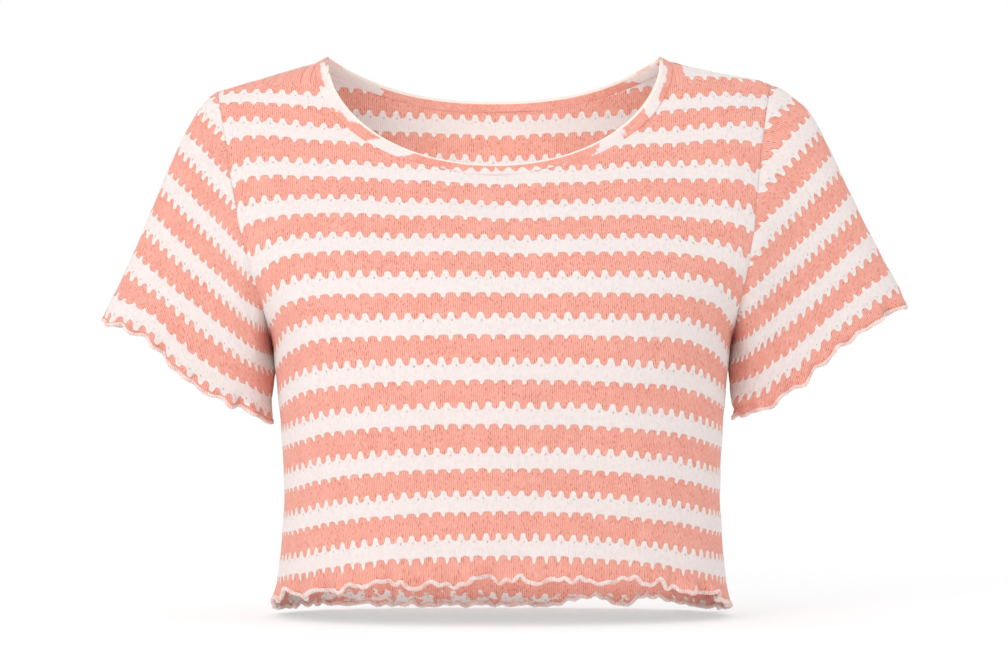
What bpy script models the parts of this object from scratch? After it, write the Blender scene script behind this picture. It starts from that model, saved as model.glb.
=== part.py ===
"""A cropped, short-sleeved, striped knit sweater, filled out as if worn, with no wearer.

Metres, +Z up. The front faces -Y, and the wearer's left side is +X. The origin is where the
wearer's shoulders hold it: midway between the two neck points, at the top of the shoulders.

The body is one form, given by level sections and a shoulder ridge. The front and the back are
cut from it along the hem, side seams, armholes, shoulder seams and neckline. Each sleeve is a
loft from its armhole to its cuff. The neckband is a strip folded over the neck edge, and a rolled
overlock edge runs round the hem and each cuff in small waves.
"""

import math

import bpy
import numpy as np

# ---------------------------------------------------------------- driving dimensions, in metres
SIDE_LENGTH = 0.3813  # from the neck point down to the hem at the side seams
NECK_HALF = 0.1158  # half the width of the neck opening
FRONT_NECK_DROP = 0.0750
BACK_NECK_DROP = 0.0255
BACK_NECK_SQUARENESS = 2.3
SHOULDER_HALF = 0.193  # half the width between the tips of the shoulders
SHOULDER_SLOPE = 0.30
SHOULDER_SOFTNESS = 0.020  # rounds the ridge's line over the neck
UNDERARM = -0.194
UNDERARM_TURN = 2.5  # how far round the armhole, in radians, its underarm part starts
LEAN = 0.0053  # the shoulders sit this much towards -X
LEAN_LOW, LEAN_HIGH = -0.21, -0.05

CLOTH = 0.0014
SEAM = 0.0005  # between the edges of two panels
ARMHOLE_SEAM = 0.0009  # between a panel and a sleeve, which turn towards each other inside
SEAM_STRIP = 0.0015  # the last strip of faces beside a seam

FRONT, BACK = -1, 1
SQUARENESS = {FRONT: 2.4, BACK: 2.7}  # exponent of the level sections
HEM_LIFT = {FRONT: 0.0222, BACK: -0.0040}  # the bust carries the middle of the front hem up
RIDGE_ROUNDING = {FRONT: 0.035, BACK: 0.042}  # height of the rounded top of the shoulders

# The level sections of the body: half its width, and how far its front and back stand from the
# plane of the side seams. Above the underarm the outer part of each section is cut away.
SECTIONS = {
    "height": (-0.400, -0.3836, -0.360, -0.338, -0.305, -0.270, -0.240, -0.210, -0.188,
               -0.165, -0.140, -0.115, -0.090, -0.065, -0.040, 0.030),
    "half_width": (0.1617, 0.1602, 0.1562, 0.1542, 0.1522, 0.1537, 0.1559, 0.1597, 0.1637,
                   0.1765, 0.1930, 0.2050, 0.2120, 0.2160, 0.2180, 0.2180),
    "front_depth": (0.1150, 0.1140, 0.1120, 0.1110, 0.1115, 0.1140, 0.1170, 0.1185, 0.1165,
                    0.1095, 0.0960, 0.0770, 0.0580, 0.0450, 0.0390, 0.0340),
    "back_depth": (0.0900, 0.0890, 0.0875, 0.0865, 0.0865, 0.0885, 0.0920, 0.0955, 0.0970,
                   0.0975, 0.0960, 0.0925, 0.0870, 0.0790, 0.0690, 0.0480),
}

# The armhole seam as seen from the front, from the tip of the shoulder down.
ARMHOLE = {
    "height": (-0.175, -0.153, -0.137, -0.120, -0.104, -0.084, -0.065, -0.050),
    "half_width": (0.1645, 0.1700, 0.1732, 0.1774, 0.1797, 0.1830, 0.1855, 0.1877),
}

# Each cuff is an oval. Its outer and inner corners are given across (away from the body's
# middle) and up. The top of its sleeve leaves the shoulder and arrives at the cuff at these
# angles, in degrees below level. Each pull is how far the angle carries, as a share of the
# sleeve's length.
CUFFS = {
    "left": {
        "hand": 1,
        "outer": (0.2840, -0.1695),
        "inner": (0.1625, -0.2510),
        "leaves": -4.3,
        "leaves_pull": 0.584,
        "arrives": 58.8,
        "arrives_pull": 1.881,
    },
    "right": {
        "hand": -1,
        "outer": (0.2790, -0.1780),
        "inner": (0.1610, -0.2520),
        "leaves": 35.2,
        "leaves_pull": 0.462,
        "arrives": 62.1,
        "arrives_pull": 1.144,
    },
}
CUFF_DEPTH = 0.027  # half its thickness from front to back
CUFF_FORWARD = 0.004
CUFF_SQUARENESS = 2.2
CUFF_DIP = {FRONT: 0.0025, BACK: 0.0015}  # how far each side of a cuff hangs past its corners
SLEEVE_ANGLE = 65.0  # of the whole sleeve, in degrees below level
# The same at the underarm.
UNDERARM_LEAVES, UNDERARM_LEAVES_PULL = 78.0, 0.35
UNDERARM_ARRIVES, UNDERARM_ARRIVES_PULL = 90.0, 0.9

BAND_WIDTH = 0.009  # from the fold at the neck's edge to the seam
BAND_SEAM = 0.0008
NECK_DROP_GROWTH = {FRONT: 0.8, BACK: 0.9}  # of a line over the body, for each metre off the neck
BAND_RISE = 0.0025  # its fold stands up this much at the neck points
BAND_THICKNESS = 0.0024  # two layers of the cloth
BAND_PROUD = 0.0004  # how far it stands out of the panels

ROLL_RADIUS = 0.0014  # the rolled overlock edge
ROLL_DROP = 0.0026  # its middle is this far below the cut edge
HEM_WAVES, HEM_WAVE = 28, 0.0022  # how many waves go round, and how far they swing
CUFF_WAVES, CUFF_WAVE = 14, 0.0016

# Faces: steps along each stretch of a half panel's upper edge, and rows above and below the
# underarm.
NECK_STEPS, SHOULDER_STEPS, UPPER_ROWS, LOWER_ROWS = 12, 3, 10, 6
SLEEVE_ROWS = 9
NECK_STRIP = 0.006
ARMHOLE_STRIP = 0.025  # in radians, the extra width of the strip beside the armhole
STRIP_STARTS, STRIP_ENDS = 0.05, 0.1  # shares of the outer edge over which it comes and goes
NECK_SPREAD, SPREAD_DOWN = 0.07, 0.12  # the columns fan out below the neck points
ROW_GROWTH = 1.1  # a panel's rows are closer together at the top
POINTS_A_WAVE = 4
FINE = 400  # samples of a curve before it is cut into equal steps

COLOURS = {
    "knit": ((0.92, 0.42, 0.33, 1.0), 0.92),
    "band": ((0.92, 0.50, 0.42, 1.0), 0.92),
    "edge": ((0.93, 0.72, 0.67, 1.0), 0.85),
}


# ---------------------------------------------------------------- the form of the body
def through(rows, column, height):
    """A smooth curve through one column of a table, read at these heights."""
    knots = np.array(rows["height"])
    values = np.array(rows[column])
    slopes = np.gradient(values, knots)
    height = np.clip(height, knots[0], knots[-1])
    i = np.clip(np.searchsorted(knots, height) - 1, 0, len(knots) - 2)
    step = knots[i + 1] - knots[i]
    t = (height - knots[i]) / step
    return (
        (2 * t**3 - 3 * t**2 + 1) * values[i]
        + (t**3 - 2 * t**2 + t) * step * slopes[i]
        + (3 * t**2 - 2 * t**3) * values[i + 1]
        + (t**3 - t**2) * step * slopes[i + 1]
    )


def half_width(height):
    return through(SECTIONS, "half_width", height)


def ridge(across):
    """Height of the shoulder ridge, which is 0 at the neck points."""
    reach = math.hypot(SHOULDER_SLOPE * NECK_HALF, SHOULDER_SOFTNESS)
    return reach - np.hypot(SHOULDER_SLOPE * across, SHOULDER_SOFTNESS)


def lean(height):
    t = np.clip((height - LEAN_LOW) / (LEAN_HIGH - LEAN_LOW), 0, 1)
    return -LEAN * t * t * (3 - 2 * t)


def fullness(face, across, height):
    """How much of its full depth a level section has at this distance from the middle."""
    power = SQUARENESS[face]
    share = np.clip(np.abs(across) / half_width(height), 0, 1)
    return (1 - share**power) ** (1 / power)


def body_point(face, across, height):
    """The point of the body's outer surface at this place in the front view."""
    depth = through(SECTIONS, "front_depth" if face == FRONT else "back_depth", height)
    rounding = RIDGE_ROUNDING[face]
    climb = np.clip((height - ridge(across)) / rounding + 1, 0, 1)
    out = depth * fullness(face, across, height) * np.sqrt(1 - climb**2)
    return np.stack([across + lean(height), face * (out + SEAM / 2), height], axis=-1)


def armhole_across(height):
    """The armhole seam's distance from the middle: the shoulder's tip above, the side below."""
    rows = {
        "height": (UNDERARM, *ARMHOLE["height"], float(ridge(SHOULDER_HALF))),
        "half_width": (float(half_width(UNDERARM)), *ARMHOLE["half_width"], SHOULDER_HALF),
    }
    return through(rows, "half_width", height)


# ---------------------------------------------------------------- edges, in the front view
def neck_edge(face, turn, away=0.0):
    """The neckline, from its middle at turn 0 to the neck point at 90 degrees, or moved away."""
    reach = NECK_HALF + away
    top = float(ridge(reach))
    share = np.sin(turn)
    if face == FRONT:
        fall = (top + FRONT_NECK_DROP + NECK_DROP_GROWTH[FRONT] * away) * np.cos(turn)
    else:
        drop = top + BACK_NECK_DROP + NECK_DROP_GROWTH[BACK] * away
        fall = drop * (1 - share**BACK_NECK_SQUARENESS)
    return reach * share, top - fall


def armhole_edge(turn, gap):
    """The armhole, from the shoulder's tip at turn 0 to the underarm at 180 degrees. The gap
    moves it outwards, and under the arm upwards."""
    top = float(ridge(SHOULDER_HALF + gap))
    height = (top + UNDERARM) / 2 + (top - UNDERARM) / 2 * np.cos(turn)
    under = np.clip((turn - UNDERARM_TURN) / (math.pi - UNDERARM_TURN), 0, 1)
    share = armhole_across(height) / half_width(height)
    height = height + gap * under
    return share * half_width(height) + gap * (1 - under), height


def hem_at(face, turn):
    """The hem, from its middle at turn 0 to the side seam at 90 degrees."""
    share = np.sin(turn)
    power = SQUARENESS[face]
    full = (1 - share**power) ** (1 / power)
    height = -SIDE_LENGTH + HEM_LIFT[face] * full
    return share * half_width(height), height


def neck_turns(face):
    """The turns of the neckline's points, evenly apart along its seam."""
    fine = np.linspace(0, math.pi / 2, FINE)
    x, z = neck_edge(face, fine, BAND_WIDTH + BAND_SEAM)
    return evenly(body_point(face, x, z), NECK_STEPS) * math.pi / 2


def evenly(line, steps, close=False):
    """This many equal steps along a line of points, as shares of its first to last sample, and
    one more place close to its end."""
    lengths = np.linalg.norm(np.diff(line, axis=0), axis=1)
    along = np.concatenate([[0], np.cumsum(lengths)])
    places = np.linspace(0, along[-1], steps + 1)
    if close:
        places = np.insert(places, -1, along[-1] - SEAM_STRIP)
    return np.interp(places, along, np.linspace(0, 1, len(line)))


def shoulder_edge(share):
    start = NECK_HALF + BAND_WIDTH + BAND_SEAM
    across = start + (SHOULDER_HALF - ARMHOLE_SEAM / 2 - start) * share
    return across, ridge(across)


def turn_of(across, height):
    """How far round a level section this is: 0 at the middle, a right angle at the side."""
    return np.arcsin(np.clip(across / half_width(height), 0, 1))


def top_edge(face):
    """A half panel's upper edge: the neckline, then the shoulder seam."""
    fine = np.linspace(0, 1, FINE)
    share = evenly(body_point(face, *shoulder_edge(fine)), SHOULDER_STEPS, close=True)
    neck = neck_edge(face, neck_turns(face), BAND_WIDTH + BAND_SEAM)
    shoulder = shoulder_edge(share[1:])
    return np.concatenate([neck[0], shoulder[0]]), np.concatenate([neck[1], shoulder[1]])


def hem_edge(face, columns):
    """A half panel's lower edge, with this many points."""
    fine = np.linspace(0, math.pi / 2, FINE)
    place = evenly(body_point(face, *hem_at(face, fine)), columns - 2, close=True)
    return hem_at(face, place * math.pi / 2)


def side_edge(face):
    """A half panel's outer edge from the tip of the shoulder down: the armhole, then the side
    seam. Gives finely spaced places, their distances along the edge, and the underarm's."""
    turn = np.linspace(0, math.pi, FINE)
    across, height = armhole_edge(turn, -ARMHOLE_SEAM / 2)
    seam = np.linspace(height[-1], -SIDE_LENGTH, FINE // 2)[1:]
    across = np.concatenate([across, half_width(seam)])
    height = np.concatenate([height, seam])
    steps = np.linalg.norm(np.diff(body_point(face, across, height), axis=0), axis=1)
    along = np.concatenate([[0], np.cumsum(steps)])
    return across, height, along, along[FINE - 1]


def row_places(face):
    """The rows' places from a panel's top to its hem, as shares of the outer edge's length."""
    along, underarm = side_edge(face)[2:]
    upper = (np.arange(UPPER_ROWS + 1) / UPPER_ROWS) ** ROW_GROWTH * underarm
    lower = np.linspace(underarm, along[-1], LOWER_ROWS + 1)[1:]
    return np.concatenate([upper, lower]) / along[-1]


def armhole_turns(face):
    """The turns of the armhole's points, one at each row of the panel, from the top down."""
    along, underarm = side_edge(face)[2:]
    places = row_places(face)[: UPPER_ROWS + 1] * along[-1]
    return np.interp(places, along[:FINE], np.linspace(0, math.pi, FINE))


# ---------------------------------------------------------------- meshes
def mesh_object(name, rows, outward, wrap=False):
    """A surface through rows of points, its faces pointing the way that outward says."""
    down, along = rows.shape[:2]
    mesh = bpy.data.meshes.new(name)
    faces = []
    for j in range(down - 1):
        for i in range(along if wrap else along - 1):
            k = (i + 1) % along
            faces.append((j * along + i, j * along + k, (j + 1) * along + k, (j + 1) * along + i))
    if not outward:
        faces = [face[::-1] for face in faces]
    mesh.from_pydata(rows.reshape(-1, 3).tolist(), [], faces)
    mesh.update()
    made = bpy.data.objects.new(name, mesh)
    garment.objects.link(made)
    mesh.shade_smooth()
    return made


def thicken(made, thickness, offset):
    wall = made.modifiers.new("Wall", "SOLIDIFY")
    wall.thickness = thickness
    wall.offset = offset
    wall.use_quality_normals = True
    return made


def finish(made, colour):
    rgba, roughness = COLOURS[colour]
    material = bpy.data.materials.get(colour)
    if material is None:
        material = bpy.data.materials.new(colour)
        material.use_nodes = True
        shader = material.node_tree.nodes["Principled BSDF"]
        shader.inputs["Base Color"].default_value = rgba
        shader.inputs["Roughness"].default_value = roughness
        shader.inputs["Metallic"].default_value = 0.0
        material.diffuse_color = rgba
    made.data.materials.append(material)
    return made


def panel_patch(face, down):
    """Places on the right half of a panel, these shares of the way down each of its columns."""
    top_x, top_z = top_edge(face)
    hem_x, hem_z = hem_edge(face, len(top_x))
    side_x, side_z, along, underarm = side_edge(face)
    top, hem, side = turn_of(top_x, top_z), turn_of(hem_x, hem_z), turn_of(side_x, side_z)
    outward = hem / hem[-1]
    side_turn = np.interp(down, along / along[-1], side) - top[-1] - (hem[-1] - top[-1]) * down
    side_drop = np.interp(down, along / along[-1], side_z)
    side_drop = side_drop - top_z[-1] - (hem_z[-1] - top_z[-1]) * down
    column = np.arange(len(top_x)) / NECK_STEPS
    to_side = (top_x[-1] - top_x) / (top_x[-1] - top_x[NECK_STEPS])
    spread = np.clip(np.minimum(column**2, to_side), 0, 1)
    spread = NECK_SPREAD * spread * down / SPREAD_DOWN * np.exp(1 - down / SPREAD_DOWN)
    turn = top + (hem - top) * down + outward * side_turn + spread
    to_underarm = underarm / along[-1] - down
    beside_armhole = np.minimum(down / STRIP_STARTS, to_underarm / STRIP_ENDS)
    beside_armhole = np.clip(beside_armhole, 0, 1)
    last_but_one = np.arange(len(top_x)) == len(top_x) - 2
    turn = turn - ARMHOLE_STRIP * beside_armhole * last_but_one
    height = top_z + (hem_z - top_z) * down + outward * side_drop
    return half_width(height) * np.sin(turn), height


def panel_shares(face):
    """Where each row crosses each column: a narrow strip at the top, then wider rows."""
    fine = np.linspace(0, 1, FINE)[:, None] ** 3
    line = body_point(face, *panel_patch(face, fine))
    steps = np.linalg.norm(np.diff(line, axis=0), axis=2)
    along = np.concatenate([np.zeros((1, steps.shape[1])), np.cumsum(steps, axis=0)])
    columns = []
    for i, column in enumerate(along.T):
        strip = SEAM_STRIP + NECK_STRIP * max(1 - i / NECK_STEPS, 0)
        places = np.insert(row_places(face) * column[-1], 1, strip)
        columns.append(np.interp(places, column, fine[:, 0]))
    return np.array(columns).T


def panel(name, face):
    """The front or the back, from its armholes, shoulders and neckline down to the hem."""
    across, height = panel_patch(face, panel_shares(face))
    right = body_point(face, across, height)
    left = body_point(face, -across[:, :0:-1], height[:, :0:-1])
    rows = np.concatenate([left, right], axis=1)
    made = mesh_object(name, rows, outward=face == BACK)
    return finish(thicken(made, CLOTH, -1), "knit")


def armhole_ring(hand, gap):
    """Points round the armhole, this far outside it: down the front and up the back."""
    rings = []
    for face in (FRONT, BACK):
        across, height = armhole_edge(armhole_turns(face), gap)
        half = body_point(face, hand * across, height)
        half[[0, -1], 1] = 0.0
        rings.append(half)
    return np.concatenate([rings[0], rings[1][-2:0:-1]])


def cuff_ring(cuff, turn):
    outer, inner = np.array(cuff["outer"]), np.array(cuff["inner"])
    middle, reach = (outer + inner) / 2, (outer - inner) / 2
    power = 2 / CUFF_SQUARENESS
    wide = np.sign(np.cos(turn)) * np.abs(np.cos(turn)) ** power
    deep = np.sign(np.sin(turn)) * np.abs(np.sin(turn)) ** power
    flat = middle + reach * wide[:, None]
    dip = np.sin(turn) * np.where(np.sin(turn) > 0, CUFF_DIP[FRONT], -CUFF_DIP[BACK])
    dip *= 1 - np.cos(turn)
    angle = math.radians(SLEEVE_ANGLE)
    across = flat[:, 0] + dip * math.cos(angle)
    out = -CUFF_FORWARD - CUFF_DEPTH * deep
    return np.stack([cuff["hand"] * across, out, flat[:, 1] - dip * math.sin(angle)], axis=-1)


def sleeve_rings(cuff, rows):
    """Rings of points from the armhole to the cuff. Each ring starts at the top of the arm and
    goes by the front."""
    hand = cuff["hand"]
    turn = np.concatenate([armhole_turns(FRONT), 2 * math.pi - armhole_turns(BACK)[-2:0:-1]])
    first = armhole_ring(hand, ARMHOLE_SEAM / 2)
    end = cuff_ring(cuff, turn)
    under = ((1 - np.cos(turn)) / 2)[:, None]
    ways, carries = [], []
    for at, low, low_pull in (
        ("leaves", UNDERARM_LEAVES, UNDERARM_LEAVES_PULL),
        ("arrives", UNDERARM_ARRIVES, UNDERARM_ARRIVES_PULL),
    ):
        angle = np.radians(cuff[at] + (low - cuff[at]) * under)
        pull = cuff[at + "_pull"]
        ways.append(np.hstack([hand * np.cos(angle), 0 * angle, -np.sin(angle)]))
        carries.append(pull + (low_pull - pull) * under)
    strip = armhole_ring(hand, ARMHOLE_SEAM / 2 + SEAM_STRIP)
    start = strip + (first + ways[0] * SEAM_STRIP - strip) * under**2
    length = np.linalg.norm(end - start, axis=1)[:, None]
    pulls = [way * length * carry for way, carry in zip(ways, carries)]
    rings = [first]
    for s in np.linspace(0, 1, rows + 1):
        rings.append(
            (2 * s**3 - 3 * s**2 + 1) * start
            + (s**3 - 2 * s**2 + s) * pulls[0]
            + (3 * s**2 - 2 * s**3) * end
            + (s**3 - s**2) * pulls[1]
        )
    return np.array(rings)


def sleeve(side):
    cuff = CUFFS[side]
    rings = sleeve_rings(cuff, SLEEVE_ROWS)
    made = mesh_object("sleeve_" + side, rings, outward=cuff["hand"] > 0, wrap=True)
    return finish(thicken(made, CLOTH, -1), "knit")


def neck_loop(away):
    """Points all round the neckline, moved this far away from its edge over the body."""
    quarters = []
    for face in (FRONT, BACK):
        x, z = neck_edge(face, neck_turns(face), away)
        right = body_point(face, x, z)
        left = body_point(face, -x, z)
        right[-1, 1] = left[-1, 1] = 0.0
        quarters += [left[::-1], right[1:]]
    front_left, front_right, back_left, back_right = quarters
    back_right, back_left = back_right[::-1], back_left[::-1]
    return np.concatenate([front_left, front_right, back_right[1:], back_left[:-1]])


def neckband():
    """A strip folded double round the neck opening and sewn edge to edge to both panels."""
    rows = np.array([neck_loop(BAND_WIDTH * share) for share in (0, 0.5, 1)])
    near = np.abs(rows[0, :, 0] - lean(rows[0, :, 2])) / NECK_HALF
    rows[0, :, 2] += BAND_RISE * near**4
    made = mesh_object("neckband", rows, outward=False, wrap=True)
    return finish(thicken(made, BAND_THICKNESS, 2 * BAND_PROUD / BAND_THICKNESS - 1), "band")


def rolled_edge(name, line, out, down, waves, swing):
    """An overlock roll round a closed edge: it swings in and out in small waves just below the
    cut edge."""
    count = waves * POINTS_A_WAVE
    closed = np.concatenate([line, line[:1]])
    place = evenly(closed, count)[:-1] * len(line)
    around = np.arange(len(closed))

    def at(values):
        values = np.concatenate([values, values[:1]])
        return np.stack([np.interp(place, around, values[:, k]) for k in range(3)], axis=-1)

    phase = 2 * math.pi * waves * np.arange(count) / count
    points = at(line) + at(down) * ROLL_DROP + at(out) * (swing * np.sin(phase))[:, None]
    curve = bpy.data.curves.new(name, "CURVE")
    curve.dimensions = "3D"
    curve.bevel_depth = ROLL_RADIUS
    curve.bevel_resolution = 1
    spline = curve.splines.new("POLY")
    spline.points.add(count - 1)
    for point, co in zip(spline.points, points):
        point.co = (*co, 1.0)
    spline.use_cyclic_u = True
    made = bpy.data.objects.new(name, curve)
    garment.objects.link(made)
    return finish(made, "edge")


def hem_roll():
    line = np.concatenate([hem_line(FRONT)[:-1], hem_line(BACK)[:0:-1]])
    out = radial(line)
    down = np.tile((0.0, 0.0, -1.0), (len(line), 1))
    return rolled_edge("hem_roll", line - out * CLOTH / 2, out, down, HEM_WAVES, HEM_WAVE)


def hem_line(face):
    """Points along one panel's hem, from -X to +X."""
    hem_x, hem_z = hem_edge(face, len(top_edge(face)[0]))
    across = np.concatenate([-hem_x[:0:-1], hem_x])
    return body_point(face, across, np.concatenate([hem_z[:0:-1], hem_z]))


def radial(line):
    """Level directions out of a ring of points, square to it."""
    along = np.roll(line, -1, axis=0) - np.roll(line, 1, axis=0)
    out = np.stack([along[:, 1], -along[:, 0], np.zeros(len(line))], axis=-1)
    return out / np.linalg.norm(out, axis=1)[:, None]


def cuff_roll(side):
    cuff = CUFFS[side]
    rings = sleeve_rings(cuff, SLEEVE_ROWS)
    line = rings[-1]
    down = line - rings[-2]
    down /= np.linalg.norm(down, axis=1)[:, None]
    along = np.roll(line, -1, axis=0) - np.roll(line, 1, axis=0)
    out = np.cross(down, along) * -cuff["hand"]
    out /= np.linalg.norm(out, axis=1)[:, None]
    line = line - out * CLOTH / 2
    return rolled_edge("cuff_roll_" + side, line, out, down, CUFF_WAVES, CUFF_WAVE)


for old in list(bpy.data.objects):
    bpy.data.objects.remove(old)
garment = bpy.data.collections.new("Striped knit sweater")
bpy.context.scene.collection.children.link(garment)

panel("front", FRONT)
panel("back", BACK)
for side in CUFFS:
    sleeve(side)
    cuff_roll(side)
neckband()
hem_roll()
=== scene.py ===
import math

import bpy
import numpy as np
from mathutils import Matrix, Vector


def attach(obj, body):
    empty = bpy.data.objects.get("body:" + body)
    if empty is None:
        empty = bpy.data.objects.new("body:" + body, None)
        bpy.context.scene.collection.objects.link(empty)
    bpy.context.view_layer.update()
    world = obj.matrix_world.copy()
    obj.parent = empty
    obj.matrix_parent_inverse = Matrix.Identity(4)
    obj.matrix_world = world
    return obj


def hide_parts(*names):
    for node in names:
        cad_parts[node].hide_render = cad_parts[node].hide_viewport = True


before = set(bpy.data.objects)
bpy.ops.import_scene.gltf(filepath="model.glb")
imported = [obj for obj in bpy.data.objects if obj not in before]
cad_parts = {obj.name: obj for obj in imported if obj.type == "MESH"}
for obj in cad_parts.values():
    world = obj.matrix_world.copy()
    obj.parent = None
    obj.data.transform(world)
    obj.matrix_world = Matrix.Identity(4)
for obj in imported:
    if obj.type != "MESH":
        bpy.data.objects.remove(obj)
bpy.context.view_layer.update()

TURN = 2 * math.pi

# ---- the garment's form, in metres
# The sizes that the CAD model is built from. The front faces -Y, and the wearer's left is +X.
SIDE_LENGTH = 0.3813
NECK_HALF = 0.1158
BACK_NECK_SQUARENESS = 2.3
SHOULDER_HALF = 0.193
SHOULDER_SLOPE = 0.3
SHOULDER_SOFTNESS = 0.02
UNDERARM = -0.194
UNDERARM_TURN = 2.5
LEAN = 0.0053
LEAN_LOW, LEAN_HIGH = -0.21, -0.05

CLOTH = 0.0014
SEAM = 0.0005
ARMHOLE_GAP = -0.0002

FRONT, BACK = -1, 1
SQUARENESS = {FRONT: 2.4, BACK: 2.7}
HEM_RISE = {FRONT: 0.0222, BACK: -0.004}
RIDGE_ROUNDING = {FRONT: 0.035, BACK: 0.042}

SECTIONS = {
    "height": (-0.4, -0.3836, -0.36, -0.338, -0.305, -0.27, -0.24, -0.21, -0.188, -0.165, -0.14,
        -0.115, -0.09, -0.065, -0.04, 0.03),
    "half_width": (0.1617, 0.1602, 0.1562, 0.1542, 0.1522, 0.1537, 0.1559, 0.1597, 0.1637, 0.1765,
        0.193, 0.205, 0.212, 0.216, 0.218, 0.218),
    "front_depth": (0.115, 0.114, 0.112, 0.111, 0.1115, 0.114, 0.117, 0.1185, 0.1165, 0.1095,
        0.096, 0.077, 0.058, 0.045, 0.039, 0.034),
    "back_depth": (0.09, 0.089, 0.0875, 0.0865, 0.0865, 0.0885, 0.092, 0.0955, 0.097, 0.0975,
        0.096, 0.0925, 0.087, 0.079, 0.069, 0.048),
}

ARMHOLE = {
    "height": (-0.175, -0.153, -0.137, -0.12, -0.104, -0.084, -0.065, -0.05),
    "half_width": (0.1645, 0.17, 0.1732, 0.1774, 0.1797, 0.183, 0.1855, 0.1877),
}

CUFFS = {
    "left": {
        "hand": 1, "outer": (0.284, -0.1695), "inner": (0.1625, -0.251),
        "leaves": -4.3, "leaves_pull": 0.584, "arrives": 58.8, "arrives_pull": 1.881,
    },
    "right": {
        "hand": -1, "outer": (0.279, -0.178), "inner": (0.161, -0.252),
        "leaves": 35.2, "leaves_pull": 0.462, "arrives": 62.1, "arrives_pull": 1.144,
    },
}
CUFF_DEPTH = 0.027
CUFF_FORWARD = 0.004
CUFF_SQUARENESS = 2.2
CUFF_DIP = {FRONT: 0.0025, BACK: 0.0015}
SLEEVE_ANGLE = 65.0
UNDER_SLEEVE = {"leaves": 78, "leaves_pull": 0.35, "arrives": 90, "arrives_pull": 0.9}

BAND_WIDTH = 0.009
BAND_SEAM = 0.0008
BAND_RISE = 0.0025
NECK_DROP = {FRONT: 0.075, BACK: 0.0255}
NECK_DROP_GROWTH = {FRONT: 0.8, BACK: 0.9}
UNDER_BAND = 0.001  # the panels' neck edges are tucked this far under the band

ROLL_RADIUS = {"hem": 0.0016, "cuff": 0.0014}

# ---- the knit, in metres
REPEAT = 0.0302  # one coral and one white stripe
WHITE = 0.0125
TOOTH = 0.0095  # from one tooth of a white stripe to the next
WALE = 0.00142

ROW_SPLIT = 0.62  # a white stripe's share of the repeat, with half of each coral stripe beside it
DASH_PITCH = 0.0042
SPIKE_SHIFT = 0.14  # how far the spikes are moved from the teeth, in teeth
DOME = 0.0008  # how far coral rises between two spikes
HEM_STRIPE = 20 * REPEAT - 0.006  # the back's lowest white stripe, which is patchy
TOOTH_SHIFT = 0.23  # how far each row of teeth is moved from the row above, in teeth

# The lines where each white stripe's teeth start: the height of each on the panel's middle, and
# how far above that it runs at these distances from the middle, both in millimetres.
FRONT_COURSES = {
    "height": (-0.396, -0.3665, -0.3283, -0.2988, -0.2696, -0.2393, -0.2094, -0.179, -0.1509,
        -0.1256, -0.1017, -0.0788, -0.056, -0.0375, -0.0167, 0.004),
    60: (-2.2, -2.1, -2, -1.8, -1.4, -1.2, -0.8, -0.3, 0, 0.5, 1.2, 2, 2.6, 3, 3, 3),
    100: (-6.8, -6.6, -6.3, -5.6, -4.6, -4, -2.6, -1, 0.3, 1.7, 3.6, 5.2, 6.4, 8.2, 8.2, 8.2),
    120: (-10.6, -10.2, -9.7, -8.7, -7.5, -6.4, -4.3, -1.5, -0.5, 1.2, 3.6, 5.8, 7.5, 11.2, 13.9,
        13.9),
    140: (-15.4, -15.2, -14.8, -14.4, -13.4, -12.2, -9.8, -7, -3.2, -0.5, 3, 6.6, 9.6, 12.4, 13.4,
        13.4),
    150: (-18.2, -18, -17.6, -17.6, -17, -16.6, -16.5, -11.5, -6.7, -2.4, 2.6, 7.2, 10.6, 13.2,
        13.6, 13.6),
    160: (-21, -21, -21, -21.5, -21.5, -22.5, -25, -26, -14.8, -5.5, 1.6, 7, 11.2, 13.6, 13.4,
        13.4),
    170: (-23, -23, -23, -24, -24, -26, -29, -33, -30, -11, 0.2, 6.4, 12, 13.6, 13.2, 13.2),
    185: (-25, -25, -25, -26, -26, -29, -33, -38, -38, -27, -6, -1, 12, 12.5, 12.5, 12.5),
}
LEVEL = (0,) * 7  # the lowest of the back's lines run level
BACK_COURSES = {
    "height": (-0.407, -0.379, -0.35, -0.3212, -0.2924, -0.2638, -0.2352, -0.2066, -0.178, -0.1494,
        -0.1212, -0.0932, -0.065, -0.037, -0.009, 0.019),
    60: LEVEL + (0, 0, 0.3, 0.8, 1.4, 2, 2.4, 2.4, 2.4),
    100: LEVEL + (0, 0, 0.6, 1.8, 3.2, 4.4, 5.2, 5.2, 5.2),
    120: LEVEL + (0, 0, 0.4, 2, 4, 5.8, 6.8, 6.8, 6.8),
    140: LEVEL + (-0.4, -1, -0.6, 1.6, 4.4, 6.8, 8.2, 8.2, 8.2),
    150: LEVEL + (-0.8, -2.4, -2, 1, 4.2, 7, 8.6, 8.6, 8.6),
    160: LEVEL + (-1.4, -5, -4.4, -0.4, 3.6, 6.8, 8.6, 8.6, 8.6),
    170: LEVEL + (-2.2, -9, -8.5, -3.2, 2.2, 6.2, 8.2, 8.2, 8.2),
    185: LEVEL + (-4, -16, -16, -9, -1.6, 4.2, 7, 7, 7),
}
COURSES = {FRONT: FRONT_COURSES, BACK: BACK_COURSES}
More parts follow.
